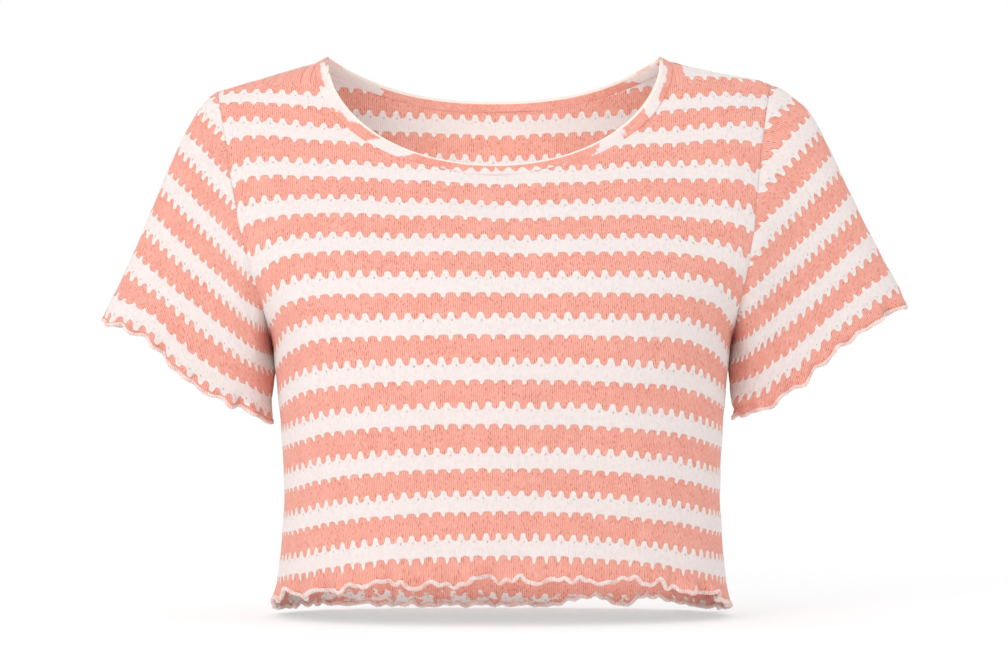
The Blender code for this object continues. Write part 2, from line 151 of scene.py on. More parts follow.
# White's share of each repeat under these lines, and how closely their teeth are drawn.
FRONT_WHITE = {
    "line": (0, 1, 2, 3, 4, 5, 6, 7, 8, 9, 10),
    "share": (0.37, 0.363, 0.46, 0.456, 0.452, 0.461, 0.461, 0.505, 0.46, 0.475, 0.455),
    "drawn": (1.14, 1.13, 1.08, 1.05, 1.02, 0.99, 0.96, 0.967, 1.0, 1.01, 1.01),
}
BACK_SHARE = 0.455
FIRST_COURSE = -1  # the number of the table's first line; line 1 is the lowest white stripe's
BACK_FIRST = 20  # added to the back's numbers, so that its unevenness is its own

# The first line of teeth above each cuff.
SLEEVE_FIRST = {"left": 0.0105, "right": 0.0035}
# The stripes' repeat along the sleeve, by how far round it is from the arm's top to the underarm.
SLEEVE_REPEAT = {"round": (0.0, 0.45, 1.0), "repeat": (0.0308, 0.0285, 0.0297)}
SLEEVE_WHITE = 0.46  # white's share of it

# How far above its even line each hem runs, in millimetres, at these distances from the middle.
HEM_LIFT = {
    FRONT: {
        "along": (-216, -205, -190, -180, -167, -157, -143, -133, -124, -115, -106, -95, -84, -72,
            -66, -58, -47, -38, -28, -16, -7, -2, 4, 13, 23, 37, 45, 52, 65, 78, 88, 106, 112, 119,
            127, 134, 141, 150, 159, 174, 195, 216),
        "lift": (0, 4, 0.5, 1.4, 4.6, -0.6, -2.2, 0.3, 0.2, -2.4, 1.7, -0.3, 3.1, 1.3, 0.4, -3.2,
            2, -1.5, -1, 4.3, 4.3, 0.3, 2.3, 4.3, -0.3, 3.9, 1.9, 4.1, 1.1, 2.9, 6.1, 2.3, 6.1,
            0.8, 0.8, -1.6, 2.5, 0.7, 1.6, -0.7, -1, 0),
    },
    BACK: {
        "along": (-202, -174, -162, -151, -135, -112, -98, -77, -66, -55, -41, -27, -12, -3, 12,
            26, 37, 49, 61, 73, 80, 86, 93, 98, 113, 129, 138, 153, 174, 202),
        "lift": (0, -0.6, 0.3, 0.7, 1.6, 0.5, 1.2, -0.2, 0.6, -0.8, 0.4, -0.2, 0.6, -0.3, 0.5,
            -0.4, -0.3, 3.3, 5.5, 5.5, 2, -0.5, 2, 4.9, 6.1, 2.2, 0.9, -0.2, -0.6, 0),
    },
}
HEM_KINK = 0.0007  # small kinks of the cut edge, beside its waves

# The grid's columns are spread towards the side a little below the shoulder.
SPREAD, SPREAD_DEPTH = 0.07, 0.12
PANEL_COLUMNS, PANEL_ROWS = 232, 196
SLEEVE_COLUMNS, SLEEVE_ROWS = 224, 88


# ---- form functions
def unit(value):
    return np.clip(value, 0, 1)


def soft(value):
    """From 0 to 1 as the value does, leaving and arriving level."""
    value = unit(value)
    return value * value * (3 - 2 * value)


def hermite(t, start, leaves, end, arrives):
    """A smooth way from start to end, with the slopes that it leaves and arrives with."""
    return (
        (2 * t**3 - 3 * t**2 + 1) * start
        + (t**3 - 2 * t**2 + t) * leaves
        + (3 * t**2 - 2 * t**3) * end
        + (t**3 - t**2) * arrives
    )


def curve_through(knots, values, at):
    """A smooth curve through these knots, read at any places."""
    knots, values = np.asarray(knots, float), np.asarray(values, float)
    slopes = np.gradient(values, knots, axis=0)
    at = np.clip(at, knots[0], knots[-1])
    i = np.clip(np.searchsorted(knots, at) - 1, 0, len(knots) - 2)
    step = knots[i + 1] - knots[i]
    t = (at - knots[i]) / step
    if values.ndim > 1:
        step, t = step[..., None], t[..., None]
    return hermite(t, values[i], step * slopes[i], values[i + 1], step * slopes[i + 1])


def read(table, column, at):
    """A smooth curve through a table's column. The table's first column says where."""
    return curve_through(next(iter(table.values())), table[column], at)


def half_width(height):
    return read(SECTIONS, "half_width", height)


def ridge(across):
    """The height of the shoulders' ridge, which runs through the shoulder seams."""
    reach = math.hypot(SHOULDER_SLOPE * NECK_HALF, SHOULDER_SOFTNESS)
    return reach - np.hypot(SHOULDER_SLOPE * across, SHOULDER_SOFTNESS)


def lean(height):
    return -LEAN * soft((height - LEAN_LOW) / (LEAN_HIGH - LEAN_LOW))


def fullness(face, share):
    """How full a section is at this share of its half width."""
    power = SQUARENESS[face]
    return (1 - share**power) ** (1 / power)


def body_point(face, across, height):
    """The place on the front's or the back's outside, before the lean is added to across."""
    depth = read(SECTIONS, "front_depth" if face == FRONT else "back_depth", height)
    climb = unit((height - ridge(across)) / RIDGE_ROUNDING[face] + 1)
    out = depth * fullness(face, unit(np.abs(across) / half_width(height))) * np.sqrt(1 - climb**2)
    return np.stack([across + lean(height), face * (out + SEAM / 2), height], axis=-1)


def armhole_across(height):
    rows = (UNDERARM, *ARMHOLE["height"], float(ridge(SHOULDER_HALF)))
    reach = (float(half_width(UNDERARM)), *ARMHOLE["half_width"], SHOULDER_HALF)
    return curve_through(rows, reach, height)


def neck_edge(face, turn, away=0.0):
    """The neckline, or a line this far outside it, from its middle to the neck point."""
    reach = NECK_HALF + away
    top = float(ridge(reach))
    share = np.sin(turn)
    drop = top + NECK_DROP[face] + NECK_DROP_GROWTH[face] * away
    fall = np.cos(turn) if face == FRONT else 1 - share**BACK_NECK_SQUARENESS
    return reach * share, top - drop * fall


def armhole_edge(turn, gap):
    """The armhole's edge, or a line this far outside it, from the shoulder to the underarm."""
    top = float(ridge(SHOULDER_HALF + gap))
    height = (top + UNDERARM) / 2 + (top - UNDERARM) / 2 * np.cos(turn)
    under = unit((turn - UNDERARM_TURN) / (math.pi - UNDERARM_TURN))
    share = armhole_across(height) / half_width(height)
    height = height + gap * under
    return share * half_width(height) + gap * (1 - under), height


def hem_at(face, turn):
    share = np.sin(turn)
    height = -SIDE_LENGTH + HEM_RISE[face] * fullness(face, share)
    return share * half_width(height), height


def lengths_along(line):
    steps = np.linalg.norm(np.diff(line, axis=0), axis=-1)
    return np.concatenate([np.zeros((1, *steps.shape[1:])), np.cumsum(steps, axis=0)])


def evenly(line, steps):
    """This many equal steps along a line of points, as shares of its first to last sample."""
    along = lengths_along(line)
    return np.interp(np.linspace(0, along[-1], steps + 1), along, np.linspace(0, 1, len(line)))


def turn_of(across, height):
    return np.arcsin(unit(across / half_width(height)))


# ---- the panels' grids
def top_edge(face, columns):
    """A half panel's upper edge: the neckline, then the shoulder seam."""
    fine = np.linspace(0, math.pi / 2, 600)
    neck = np.stack(neck_edge(face, fine, BAND_WIDTH - UNDER_BAND), axis=-1)
    start, end = neck[-1, 0], SHOULDER_HALF - ARMHOLE_GAP / 2
    across = start + (end - start) * np.linspace(0, 1, 200)[1:]
    line = np.concatenate([neck, np.stack([across, ridge(across)], axis=-1)])
    along = lengths_along(body_point(face, line[:, 0], line[:, 1]))
    places = np.linspace(0, along[-1], columns + 1)
    corner = along[len(neck) - 1] / along[-1]
    return np.interp(places, along, line[:, 0]), np.interp(places, along, line[:, 1]), corner


def hem_edge(face, columns):
    fine = np.linspace(0, math.pi / 2, 600)
    place = evenly(body_point(face, *hem_at(face, fine)), columns)
    return hem_at(face, place * math.pi / 2)


def side_edge(face):
    """A half panel's outer edge: the armhole, then the side seam."""
    across, height = armhole_edge(np.linspace(0, math.pi, 600), -ARMHOLE_GAP / 2)
    seam = np.linspace(height[-1], -SIDE_LENGTH, 300)[1:]
    across = np.concatenate([across, half_width(seam)])
    height = np.concatenate([height, seam])
    along = lengths_along(body_point(face, across, height))
    return turn_of(across, height), height, along / along[-1]


def panel_places(face):
    """The (across, height) grid of the half panel at +X: rows run down from the top."""
    columns = PANEL_COLUMNS // 2
    top_x, top_z, corner = top_edge(face, columns)
    hem_x, hem_z = hem_edge(face, columns)
    side, side_z, along = side_edge(face)
    top, hem = turn_of(top_x, top_z), turn_of(hem_x, hem_z)
    column = np.arange(columns + 1) / columns / corner
    to_side = (top_x[-1] - top_x) / (top_x[-1] - np.interp(1, column, top_x))
    spread_here = unit(np.minimum(column**2, to_side))

    def patch(down):
        side_turn = np.interp(down, along, side) - top[-1] - (hem[-1] - top[-1]) * down
        side_drop = np.interp(down, along, side_z) - top_z[-1] - (hem_z[-1] - top_z[-1]) * down
        ahead = down / SPREAD_DEPTH
        spread = SPREAD * spread_here * ahead * np.exp(1 - ahead)
        turn = top + (hem - top) * down + hem / hem[-1] * side_turn + spread
        height = top_z + (hem_z - top_z) * down + hem / hem[-1] * side_drop
        return half_width(height) * np.sin(turn), height

    fine = np.linspace(0, 1, 900)[:, None] ** 2
    length = lengths_along(body_point(face, *patch(fine)))
    rows = np.linspace(0, 1, PANEL_ROWS + 1)
    shares = np.array([np.interp(rows * column[-1], column, fine[:, 0]) for column in length.T])
    return patch(shares.T)


def mirrored(half, sign=1):
    return np.concatenate([sign * half[:, :0:-1], half], axis=1)


# ---- the stripes' places
def course_number(face, across, height):
    """Which line of teeth a place on a panel is at, as a number with a fraction."""
    table = COURSES[face]
    centre = np.array(table["height"])
    rises = {0: 0 * centre} | {place: table[place] for place in table if place != "height"}
    places, away = np.array([*rises]) / 1000, np.array([*rises.values()]) / 1000
    numbers = np.arange(len(centre)) + FIRST_COURSE
    fine = np.arange(numbers[0], numbers[-1] + 1e-9, 0.1)
    lines = np.array([curve_through(numbers, centre + rise, fine) for rise in away])
    reach, flat = np.abs(across).ravel(), height.ravel()
    found = np.empty(len(flat))
    for start in range(0, len(flat), 8000):
        part = slice(start, start + 8000)
        here = curve_through(places, lines, reach[part])
        below = (here < flat[part][:, None]).sum(axis=1) - 1
        below = np.clip(below, 0, len(fine) - 2)
        index = np.arange(len(below))
        low, high = here[index, below], here[index, below + 1]
        found[part] = fine[below] + (flat[part] - low) / (high - low) * 0.1
    return found.reshape(height.shape)


def level_arc(face, across, height):
    """The distance from the middle to a place, along the level line through it."""
    levels = np.linspace(-0.4, 0.02, 85)
    turns = np.linspace(0, math.pi / 2, 181)
    level, turn = np.meshgrid(levels, turns, indexing="ij")
    points = body_point(face, half_width(level) * np.sin(turn), level)
    arcs = lengths_along(np.swapaxes(points, 0, 1)).T
    row = np.clip((height - levels[0]) / (levels[1] - levels[0]), 0, len(levels) - 1.001)
    column = np.clip(turn_of(np.abs(across), height) / turns[1], 0, len(turns) - 1.001)
    i, j = row.astype(int), column.astype(int)
    s, t = row - i, column - j
    near = arcs[i, j] * (1 - t) + arcs[i, j + 1] * t
    far = arcs[i + 1, j] * (1 - t) + arcs[i + 1, j + 1] * t
    return np.sign(across) * (near * (1 - s) + far * s)


def widened_white(course, share):
    """Course numbers moved so that white takes this share of each repeat."""
    below = (-course) % 1
    usual = WHITE / REPEAT
    white = below * usual / share
    coral = usual + (below - share) * (1 - usual) / (1 - share)
    return course + below - np.where(below < share, white, coral)


# ---- meshes
def add_object(name, data):
    thing = bpy.data.objects.new(name, data)
    bpy.context.scene.collection.objects.link(thing)
    return thing


def normals_of(points, wrap):
    """The normals of a grid of points, square to its rows and columns."""
    down = np.gradient(points, axis=0)
    if wrap:
        around = np.roll(points, -1, axis=1) - np.roll(points, 1, axis=1)
    else:
        around = np.gradient(points, axis=1)
    normal = np.cross(around, down)
    size = np.linalg.norm(normal, axis=-1, keepdims=True)
    return normal / np.maximum(size, 1e-12)


def grid_faces(rows, columns, wrap, closed=False):
    """A grid's quads, and each corner's row and column. In a wrapped grid the last column meets
    the first, and in a closed one the last row does."""
    j, i = np.mgrid[: rows if closed else rows - 1, : columns if wrap else columns - 1]
    square = ((0, 0), (0, 1), (1, 1), (1, 0))
    corners = np.stack([np.stack([j + a, i + b], -1) for a, b in square], -2).reshape(-1, 4, 2)
    return corners[..., 0] % rows * columns + corners[..., 1] % columns, corners


def shell(name, outer, way, cloth, wrap):
    """A closed sheet from the grid of its outside's points, which faces this way, and the line
    along its cut edge. cloth gives each grid point's place in the cloth, in metres, with one more
    column where the grid closes on itself."""
    inner = outer - normals_of(outer, wrap) * way * CLOTH
    if not wrap:
        for grid in (outer, inner):
            grid[..., 1] = way * np.maximum(way * grid[..., 1], SEAM / 2)
    outer, inner = settled(outer), settled(inner)
    rows, columns = outer.shape[:2]
    count = rows * columns
    parts = []

    def add(faces, corners, turn):
        parts.append((faces[:, ::turn], corners[:, ::turn]))

    def rim(row, column, turn):
        """Faces between the two grids, along a row or a column of both."""
        row, column = np.broadcast_arrays(row, column)
        here = row * columns + column % columns
        a, b = here[:-1], here[1:]
        place = np.stack([row, column], -1)
        corners = np.stack([place[1:], place[:-1], place[:-1], place[1:]], 1)
        add(np.stack([b, a, a + count, b + count], -1), corners, turn)

    faces, corners = grid_faces(rows, columns, wrap)
    add(faces, corners, way)
    add(faces + count, corners, -way)
    across, down = np.arange(columns + wrap), np.arange(rows)
    rim(0, across, way)
    rim(rows - 1, across, -way)
    if not wrap:
        rim(down, 0, -way)
        rim(down, columns - 1, way)
    faces, corners = (np.concatenate(both) for both in zip(*parts))
    points = np.concatenate([outer.reshape(-1, 3), inner.reshape(-1, 3)])
    edges = sum(len(part[0]) for part in parts[2:])
    return mesh_piece(name, points, faces, cloth, corners, edges), (outer[-1] + inner[-1]) / 2


def mesh_piece(name, points, faces, cloth, corners, edges=0):
    """A mesh of quads. The last of them, this many, are the cut edges of a sheet."""
    mesh = bpy.data.meshes.new(name)
    mesh.vertices.add(len(points))
    mesh.vertices.foreach_set("co", points.astype(np.float32).ravel())
    mesh.loops.add(faces.size)
    mesh.loops.foreach_set("vertex_index", faces.astype(np.int32).ravel())
    mesh.polygons.add(len(faces))
    mesh.polygons.foreach_set("loop_start", np.arange(0, faces.size, 4, dtype=np.int32))
    mesh.update(calc_edges=True)
    places = cloth[corners[..., 0], corners[..., 1]]
    mesh.uv_layers.new(name="Cloth").uv.foreach_set("vector", places.astype(np.float32).ravel())
    mesh.validate()
    mesh.polygons.foreach_set("use_smooth", np.arange(len(faces)) < len(faces) - edges)
    return add_object(name, mesh)


# ---- seeded noise
rng = np.random.default_rng(7)


def bumps(count, low, high):
    """Random plane waves, as (frequency, phase) rows, for soft unevenness."""
    return [(rng.uniform(low, high), rng.uniform(0, TURN)) for _ in range(count)]


def uneven(waves, at):
    return sum(np.sin(TURN * f * at + p) for f, p in waves) / math.sqrt(len(waves) / 2 + 0.5)


# ---- front and back
# Waves of the lettuce edge: above the cut edge, cloth swings in and out and up and down, but less
# so near the side seams.
HEM_RUFFLE, HEM_LIFT_REACH = 0.015, 0.024
HEM_OUT = 0.0026
LIFT_CALM, SWING_CALM, LEAST_SWING = 0.01, 0.05, 0.12
hem_waves = {FRONT: bumps(4, 26, 48), BACK: bumps(4, 24, 44)}
hem_kinks = {FRONT: bumps(5, 60, 125), BACK: bumps(5, 60, 125)}

# Soft folds: where each starts, as (across, height), where it ends, its half width and its depth.
FOLDS = {
    FRONT: [
        (-0.158, -0.2, -0.105, -0.235, 0.012, -0.0016),
        (-0.16, -0.19, -0.11, -0.18, 0.011, -0.0012),
        (0.156, -0.202, 0.104, -0.24, 0.012, -0.0016),
        (0.158, -0.19, 0.112, -0.178, 0.011, -0.0012),
        (-0.07, -0.25, -0.082, -0.35, 0.016, 0.0012),
        (0.02, -0.26, 0.024, -0.35, 0.018, -0.001),
        (0.085, -0.25, 0.098, -0.35, 0.016, 0.0012),
        (-0.12, -0.262, -0.134, -0.345, 0.012, -0.001),
        (0.13, -0.268, 0.14, -0.345, 0.012, 0.001),
    ],
    BACK: [
        (-0.156, -0.198, -0.1, -0.23, 0.013, -0.0016),
        (0.156, -0.2, 0.102, -0.236, 0.013, -0.0016),
        (-0.06, -0.2, -0.07, -0.34, 0.02, -0.0014),
        (0.005, -0.21, -0.004, -0.34, 0.022, 0.0012),
        (0.068, -0.205, 0.078, -0.34, 0.02, -0.0014),
        (-0.12, -0.06, -0.06, -0.09, 0.014, -0.001),
        (0.12, -0.06, 0.062, -0.092, 0.014, -0.001),
    ],
}
FOLD_BEND = 0.004  # how far each fold's middle lies beside the line between its ends


def fold_depth(face, across, height):
    depth = np.zeros_like(across)
    for x0, z0, x1, z1, wide, deep in FOLDS[face]:
        dx, dz = x1 - x0, z1 - z0
        size = math.hypot(dx, dz)
        along = ((across - x0) * dx + (height - z0) * dz) / size / size
        off = ((across - x0) * dz - (height - z0) * dx) / size
        bend = off + FOLD_BEND * np.sin(math.pi * unit(along))
        ends = unit(along * 3 + 0.6) * unit((1 - along) * 1.8 + 0.5)
        depth += deep * np.exp(-((bend / wide) ** 2)) * soft(ends)
    return depth


SEAM_DEEP, SEAM_WIDE = 0.00012, 0.002


def seam_dip(distance):
    return -SEAM_DEEP * np.exp(-((distance / SEAM_WIDE) ** 2))


# How far white stands out, how tall its teeth are, and how softly its two edges step down.
PROUD, TEETH_TALL, UPPER_SOFT, LOWER_SOFT = 0.0004, 0.002, 0.0005, 0.0006
ROLLING = 0.0005  # soft unevenness of the cloth
STRIPES_FULL, ROLLING_FULL = 0.006, 0.02  # how far from a seam each is full


def cloth_relief(course, around, rolling, to_seam):
    """White stripes and their teeth stand a little proud of the coral, and the cloth is softly
    uneven. Both die away towards a seam."""
    row = np.floor(course + ROW_SPLIT)
    above = (course - row) * REPEAT
    tooth = np.cos(TURN * (around / TOOTH + TOOTH_SHIFT * row))
    top = 1 / (1 + np.exp((above - TEETH_TALL * tooth) / UPPER_SOFT))
    low = 1 / (1 + np.exp(-(above + WHITE + LOWER_SOFT) / LOWER_SOFT))
    stripes = PROUD * (top * low - 0.5) * unit(to_seam / STRIPES_FULL)
    return stripes + ROLLING * rolling * unit(to_seam / ROLLING_FULL)


# Where the garment settles off its even form: around a place in the front view, across and up,
# everything within a reach moves up by so much, in millimetres.
SETTLED = {
    "across": (0.182, 0.2, -0.19),
    "height": (-0.018, -0.029, -0.03),
    "reach": (0.026, 0.01, 0.03),
    "move_up": (4.9, -4.2, -1.2),
}


def settled(points):
    x, z = points[..., 0], points[..., 2]
    points = points.copy()
    for across, height, reach, move_up in zip(*SETTLED.values()):
        near = np.exp(-((x - across) ** 2 + (z - height) ** 2) / reach**2)
        points[..., 2] += near * move_up / 1000
    return points


# How much lower each face's stripes run on the wearer's left than on the right, in millimetres
# either way at 150 mm from the middle.
TILT = {
    FRONT: {
        "height": (-0.15, -0.11, -0.085, -0.07, -0.045, -0.02, 0),
        "lower": (0, 1.2, 1.2, 1, 1.7, 1.1, 0),
    },
    BACK: {"height": (-0.4, -0.365, -0.34), "lower": (3.5, 3.5, 0)},
}
SHOULDER_WHITE = 0.1315  # the white stripe at the left shoulder starts this far from the middle
TOP_COURSE = 12.35  # elsewhere on the front, the coral below that stripe runs up to the seam


def tilted_course(face, across, base):
    """A panel's course numbers. They follow the cloth where it has settled."""
    height = settled(base)[..., 2]
    tilt = read(TILT[face], "lower", height) / 1000
    course = course_number(face, across, height + tilt * np.clip(across / 0.15, -1, 1))
    if face == FRONT:
        return np.where(across < SHOULDER_WHITE, np.minimum(course, TOP_COURSE), course)
    return course + BACK_FIRST


def panel(name, face):
    """A panel's piece, and the line of points along its hem."""
    half_x, half_z = panel_places(face)
    across, height = mirrored(half_x, -1), mirrored(half_z)
    base = body_point(face, across, height)
    around = level_arc(face, across, height)
    course = tilted_course(face, across, base)
    share = BACK_SHARE
    if face == FRONT:
        around = around * read(FRONT_WHITE, "drawn", course)
        share = np.interp(np.ceil(course), FRONT_WHITE["line"], FRONT_WHITE["share"])
    course = widened_white(course, share)
    cloth = np.stack([around, course * REPEAT], axis=-1)

    down = lengths_along(base)
    side = lengths_along(np.swapaxes(base, 0, 1)).T
    to_side = np.minimum(side, side[:, -1:] - side)
    rolling = uneven(bumps(3, 6, 16), across + 0.3 * height)
    push = fold_depth(face, across, height) + seam_dip(to_side)
    push += cloth_relief(course, around, rolling, to_side)

    to_hem = down[-1] - down
    edge = side[-1] - side[-1, -1] / 2
    to_corner = edge[-1] - np.abs(edge)
    swing = HEM_OUT * uneven(hem_waves[face], edge)
    swing *= np.clip(to_corner / SWING_CALM, LEAST_SWING, 1)
    lift = read(HEM_LIFT[face], "lift", edge * 1000) / 1000
    lift = (lift + HEM_KINK * uneven(hem_kinks[face], edge)) * unit(to_corner / LIFT_CALM)
    push += unit(1 - to_hem / HEM_RUFFLE) ** 2 * swing
    outer = base + normals_of(base, False) * face * push[..., None]
    outer[..., 2] += unit(1 - to_hem / HEM_LIFT_REACH) ** 2 * lift
    return shell(name, outer, face, cloth, False)


# ---- sleeves
def armhole_turns(face):
    fine = np.linspace(0, math.pi, 600)
    return evenly(body_point(face, *armhole_edge(fine, 0)), SLEEVE_COLUMNS // 2) * math.pi


def armhole_ring(hand, gap, turns):
    rings = []
    for face in (FRONT, BACK):
        across, height = armhole_edge(turns[face], gap)
        half = body_point(face, hand * across, height)
        half[[0, -1], 1] = 0.0
        rings.append(half)
    return np.concatenate([rings[1][:0:-1], rings[0][:-1]])


def cuff_ring(cuff, turn):
    outer, inner = np.array(cuff["outer"]), np.array(cuff["inner"])
    middle, reach = (outer + inner) / 2, (outer - inner) / 2
    wide, deep = (
        np.sign(way) * np.abs(way) ** (2 / CUFF_SQUARENESS) for way in (np.cos(turn), np.sin(turn))
    )
    flat = middle + reach * wide[:, None]
    dip = np.sin(turn) * np.where(np.sin(turn) > 0, CUFF_DIP[FRONT], -CUFF_DIP[BACK])
    dip *= 1 - np.cos(turn)
    angle = math.radians(SLEEVE_ANGLE)
    across = flat[:, 0] + dip * math.cos(angle)
    out = -CUFF_FORWARD - CUFF_DEPTH * deep
    return np.stack([cuff["hand"] * across, out, flat[:, 1] - dip * math.sin(angle)], axis=-1)


SLEEVE_STRIP = 0.0015  # it leaves the armhole level for this far, except at the underarm


def sleeve_grid(cuff):
    """Rows of points from the armhole to the cuff, each from the underarm by the back and the
    arm's top to the front."""
    hand = cuff["hand"]
    turns = {face: armhole_turns(face) for face in (FRONT, BACK)}
    turn = np.concatenate([TURN - turns[BACK][:0:-1], turns[FRONT][:-1]])
    first = armhole_ring(hand, ARMHOLE_GAP / 2, turns)
    end = cuff_ring(cuff, turn)
    under = ((1 - np.cos(turn)) / 2)[:, None]
    ways, carries = [], []
    for at in ("leaves", "arrives"):
        angle, carry = (
            cuff[name] + (UNDER_SLEEVE[name] - cuff[name]) * under for name in (at, at + "_pull")
        )
        angle = np.radians(angle)
        ways.append(np.hstack([hand * np.cos(angle), 0 * angle, -np.sin(angle)]))
        carries.append(carry)
    beside = armhole_ring(hand, ARMHOLE_GAP / 2 + SLEEVE_STRIP, turns)
    start = beside + (first + ways[0] * SLEEVE_STRIP - beside) * under**2
    length = np.linalg.norm(end - start, axis=1)[:, None]
    leaves, arrives = (way * length * carry for way, carry in zip(ways, carries))
    steps = np.linspace(0, 1, SLEEVE_ROWS)
    return np.array([first] + [hermite(s, start, leaves, end, arrives) for s in steps])


CUFF_RUFFLE, CUFF_DRAWN = 0.012, 0.045
CUFF_OUT, CUFF_SCALLOP = 0.0024, 0.0011
# How far each cuff is drawn up the sleeve from its even line, in millimetres, at these distances
# across from the body's middle.
CUFF_LIFT = {
    "left": {
        "across": (162, 170, 177, 184, 194, 206, 216, 226, 234, 242, 256, 264, 275, 284),
        "lift": (3, 2.5, 0, -1.6, -0.6, -1.4, 1, 2.6, 5.2, 4.6, 3.6, 4, 1.4, 0.6),
    },
    "right": {
        "across": (160, 180, 188, 198, 206, 214, 226, 236, 242, 248, 256, 262, 270, 279),
        "lift": (0.4, 1.4, -0.6, -2.4, -2.2, -3.2, -0.6, 2, 4.4, 5.6, 3.6, 3, -1, -2),
    },
}
# The gap between each sleeve and the body, by how far below the shoulders it is, and how far
# round the sleeve the cloth follows.
UNDER_GAP = {
    "below": (0.19, 0.215, 0.231, 0.2415, 0.248),
    "gap": (-0.0008, -0.0007, 0.003, 0.0058, 0.009),
}
UNDER_REACH = 0.016
CUFF_SWINGS = {"waves": (11, 15, 19, 25), "size": (0.6, 0.7, 0.6, 0.35)}


def ring_waves(share):
    """An uneven wave round a closed edge."""
    pairs = zip(*CUFF_SWINGS.values())
    return sum(size * np.sin(TURN * (n * share + rng.random())) for n, size in pairs)


def sleeve(side):
    """A sleeve's piece, the line of points round its cuff, and the ways down it at the cuff."""
    cuff = CUFFS[side]
    hand = cuff["hand"]
    base = sleeve_grid(cuff)
    columns = base.shape[1]
    closed = np.concatenate([base, base[:, :1]], axis=1)
    ring = lengths_along(np.swapaxes(closed, 0, 1)).T
    around = ring - ring[:, columns // 2, None]
    down = lengths_along(closed)
    to_cuff = down[-1] - down
    share = np.abs(around) / (ring[:, -1:] / 2)
    repeat = read(SLEEVE_REPEAT, "repeat", share)
    course = widened_white((SLEEVE_FIRST[side] - to_cuff) / repeat, SLEEVE_WHITE)
    cloth = np.stack([around * hand, course * REPEAT], axis=-1)

    around, course, down, to_cuff = (grid[:, :columns] for grid in (around, course, down, to_cuff))
    to_under = np.minimum(ring, ring[:, -1:] - ring)[:, :columns]
    rolling = uneven(bumps(3, 8, 18), around + 0.3 * down)
    push = seam_dip(down) + seam_dip(to_under)
    push += cloth_relief(course, around * hand, rolling, down)
    ruffle = unit(1 - to_cuff / CUFF_RUFFLE) ** 2
    share = ring[-1, :columns] / ring[-1, -1]
    push += ruffle * CUFF_OUT * ring_waves(share)
    outer = base + normals_of(base, True) * hand * push[..., None]
    axis = base[-1] - base[-6]
    axis /= np.linalg.norm(axis, axis=1)[:, None]
    lift = read(CUFF_LIFT[side], "lift", np.abs(base[-1, :, 0]) * 1000) / 1000
    drawn = soft(1 - to_cuff / CUFF_DRAWN) * lift + ruffle * CUFF_SCALLOP * ring_waves(share)
    outer = outer - drawn[..., None] * axis
    across, _, level = outer[:, 0].T
    gap = hand * (across - lean(level)) - half_width(level)
    closer = np.clip(gap - np.interp(-level, UNDER_GAP["below"], UNDER_GAP["gap"]), 0, None)
    outer[..., 0] -= hand * closer[:, None] * np.exp(-((to_under / UNDER_REACH) ** 2))
    return *shell("knit_sleeve_" + side, outer, hand, cloth, True), axis


# ---- neckband
# Where the band is white, in metres along it from the middle of the front by +X, on the leg that
# shows outside and the one inside, and where its fold is coral.
BAND_WHITE = {
    "outer": ((0.074, 0.096), (0.116, 0.133), (0.533, 0.553), (0.584, 0.611)),
    "shoulder": ((0.115, 0.156), (0.506, 0.564)),
    "inner": ((0.192, 0.231), (0.418, 0.486)),
}
BAND_FOLD_CORAL = ((0.199, 0.217), (0.458, 0.48))
BAND_FOLD_DUSTY = ((0.159, 0.184), (0.493, 0.518))
BAND_LOOP = 0.677
# At the middle of the front, teeth of a white stripe stand up the outer leg to this share of it.
# They reach this far to each side.
BAND_TEETH = {"line": 0.54, "reach": 0.045, "tall": 0.0019}

BAND_STEPS = 150  # along each quarter of the neckline
BAND_HALF = 0.0012  # half its folded thickness
BAND_SINK = 0.0006  # how far the middle of its thickness lies below the panels' outside
BAND_LINES = 9  # lines over the body, from the fold to the seam, that its section is read from
BAND_RING = 28  # points round its section
BAND_ROUNDING = {"width": 0.72, "thickness": 0.55}


def neck_loop(away):
    """Points round the neckline from its middle at the front, by +X."""
    fine = np.linspace(0, math.pi / 2, 500)
    quarters = {}
    for face in (FRONT, BACK):
        seam = body_point(face, *neck_edge(face, fine, BAND_WIDTH + BAND_SEAM))
        x, z = neck_edge(face, evenly(seam, BAND_STEPS) * math.pi / 2, away)
        for hand in (1, -1):
            line = body_point(face, hand * x, z)
            line[-1, 1] = 0.0
            quarters[face, hand] = line
    left = [quarters[FRONT, 1][:-1], quarters[BACK, 1][:0:-1]]
    return np.concatenate([*left, quarters[BACK, -1][:-1], quarters[FRONT, -1][:0:-1]])


def band_rows(shares):
    """Lines over the body from the fold at the neck's edge to the seam."""
    rows = np.array([neck_loop(BAND_WIDTH * share) for share in shares])
    near = np.abs(rows[0, :, 0] - lean(rows[0, :, 2])) / NECK_HALF
    rows[..., 2] += BAND_RISE * near**4 * (1 - shares[:, None]) ** 2
    return rows


